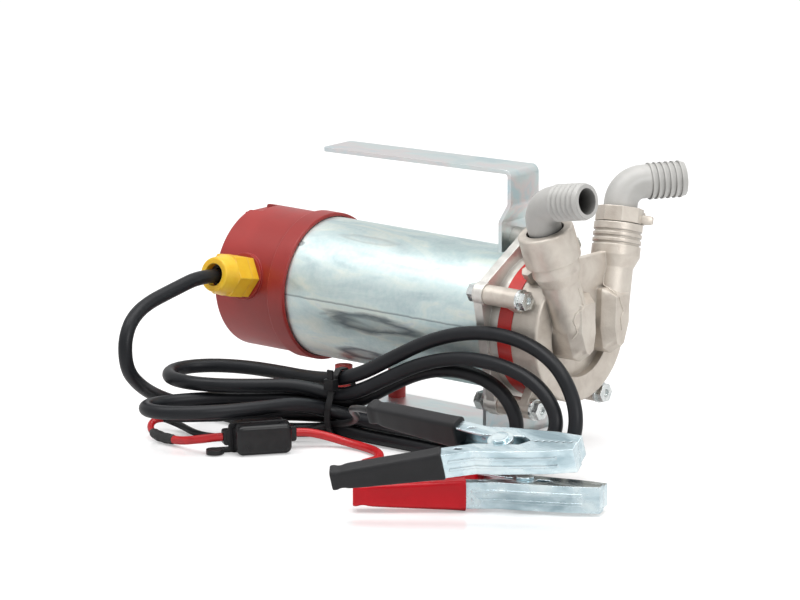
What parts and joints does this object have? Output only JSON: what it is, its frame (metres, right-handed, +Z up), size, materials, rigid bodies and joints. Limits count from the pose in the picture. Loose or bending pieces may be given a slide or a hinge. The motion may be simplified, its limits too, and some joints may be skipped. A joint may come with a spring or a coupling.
{
  "type": "electric transfer pump",
  "caption": "Self-contained electric transfer pump: tubular motor with carrying strap, pump head with two hose elbows, foot bracket, and a fused battery cable ending in two spring clamps.",
  "frame": {"origin": "middle of the foot plate's underside, on the floor", "axes": "+X runs along the motor towards the pump head, +Y to the side away from the cable gland, +Z up"},
  "size_m": [0.3717, 0.3064, 0.1686],
  "materials": {
    "tube_zinc": "satin",
    "strip_zinc": "satin",
    "plain_steel": "satin",
    "core_steel": "matte",
    "magnet": "matte",
    "copper": "satin",
    "carbon": "matte",
    "brown_resin": "matte",
    "cap_red": "satin",
    "gland_yellow": "satin",
    "seal_black": "matte",
    "flange_alloy": "satin",
    "ring_red": "satin",
    "pad_red": "satin",
    "impeller_brass": "satin",
    "cover_alloy": "satin",
    "elbow_grey": "matte",
    "bolt_zinc": "satin",
    "jacket_black": "satin",
    "tie_black": "satin",
    "holder_black": "satin",
    "fuse_orange": "gloss",
    "wire_red": "satin",
    "wire_black": "satin",
    "shrink_black": "matte",
    "clamp_zinc": "satin",
    "sleeve_black": "matte",
    "sleeve_red": "gloss"
  },
  "bodies": {
    "pump": {"motor_tube": "tube_zinc", "motor_magnets": "magnet", "motor_end_plate": "plain_steel", "rear_bearing": "plain_steel", "front_bearing": "plain_steel", "tie_rods": "plain_steel", "brush_springs": "plain_steel", "brush_plate": "brown_resin", "terminal_block": "brown_resin", "brushes": "carbon", "rear_cap": "cap_red", "gland_body": "gland_yellow", "gland_nut": "gland_yellow", "gland_seal": "seal_black", "shaft_seal": "seal_black", "port_washers": "seal_black", "motor_pads": "pad_red", "front_flange": "flange_alloy", "seal_ring": "ring_red", "pump_cover": "cover_alloy", "cover_plug": "cover_alloy", "cover_bolts": "bolt_zinc", "cover_nuts": "bolt_zinc", "handle_strap": "strip_zinc", "foot_bracket": "strip_zinc", "power_cable": "jacket_black", "cable_hank": "jacket_black", "cable_tie": "tie_black", "fuse_holder": "holder_black", "fuse": "fuse_orange", "red_core": "wire_red", "red_lead": "wire_red", "red_wire": "wire_red", "black_core": "wire_black", "heat_shrink": "shrink_black", "black_far_arm": "clamp_zinc", "black_rivet": "clamp_zinc", "black_spring": "clamp_zinc", "black_far_sleeve": "sleeve_black", "red_far_arm": "clamp_zinc", "red_rivet": "clamp_zinc", "red_spring": "clamp_zinc", "red_far_sleeve": "sleeve_red"},
    "rotor": {"motor_shaft": "plain_steel", "armature_core": "core_steel", "armature_windings": "copper", "commutator": "copper", "impeller": "impeller_brass"},
    "near_tail": {"near_elbow": "elbow_grey"},
    "far_tail": {"far_elbow": "elbow_grey"},
    "near_nut": {"near_union_nut": "cover_alloy"},
    "far_nut": {"far_union_nut": "cover_alloy"},
    "fuse_cover": {"fuse_cap": "holder_black"},
    "black_handle": {"black_near_arm": "clamp_zinc", "black_near_sleeve": "sleeve_black"},
    "red_handle": {"red_near_arm": "clamp_zinc", "red_near_sleeve": "sleeve_red"}
  },
  "joints": [
    {"name": "motor_spin", "type": "hinge", "parent": "pump", "child": "rotor", "pos_m": [0, 0, 0.07], "axis": [1, 0, 0], "continuous": true},
    {"name": "near_tail_swivel", "type": "hinge", "parent": "pump", "child": "near_tail", "pos_m": [0.11073, -0.03305, 0.13006], "axis": [-0.1045, -0.2908, 0.9511], "range_deg": [-60, 60]},
    {"name": "far_tail_swivel", "type": "hinge", "parent": "pump", "child": "far_tail", "pos_m": [0.11073, 0.03305, 0.13006], "axis": [-0.1045, 0.2908, 0.9511], "range_deg": [-60, 60]},
    {"name": "near_nut_turn", "type": "hinge", "parent": "pump", "child": "near_nut", "pos_m": [0.11177, -0.03014, 0.12055], "axis": [-0.1045, -0.2908, 0.9511], "range_deg": [0, 90]},
    {"name": "far_nut_turn", "type": "hinge", "parent": "pump", "child": "far_nut", "pos_m": [0.11125, 0.03159, 0.12531], "axis": [-0.1045, 0.2908, 0.9511], "range_deg": [0, 90]},
    {"name": "fuse_cover_slide", "type": "slide", "parent": "pump", "child": "fuse_cover", "axis": [0.8192, -0.5736, 0], "range_m": [0, 0.018]},
    {"name": "black_clamp_open", "type": "hinge", "parent": "pump", "child": "black_handle", "pos_m": [0.1865, -0.167, 0.0424], "axis": [0.0599, -0.3571, 0.9321], "range_deg": [-26, 0], "stiffness_Nm_per_rad": 0.9, "springref_deg": 34.38},
    {"name": "red_clamp_open", "type": "hinge", "parent": "pump", "child": "red_handle", "pos_m": [0.1735, -0.1309, 0.0094], "axis": [0, 0, 1], "range_deg": [-26, 0], "stiffness_Nm_per_rad": 0.9, "springref_deg": 34.38}
  ]
}
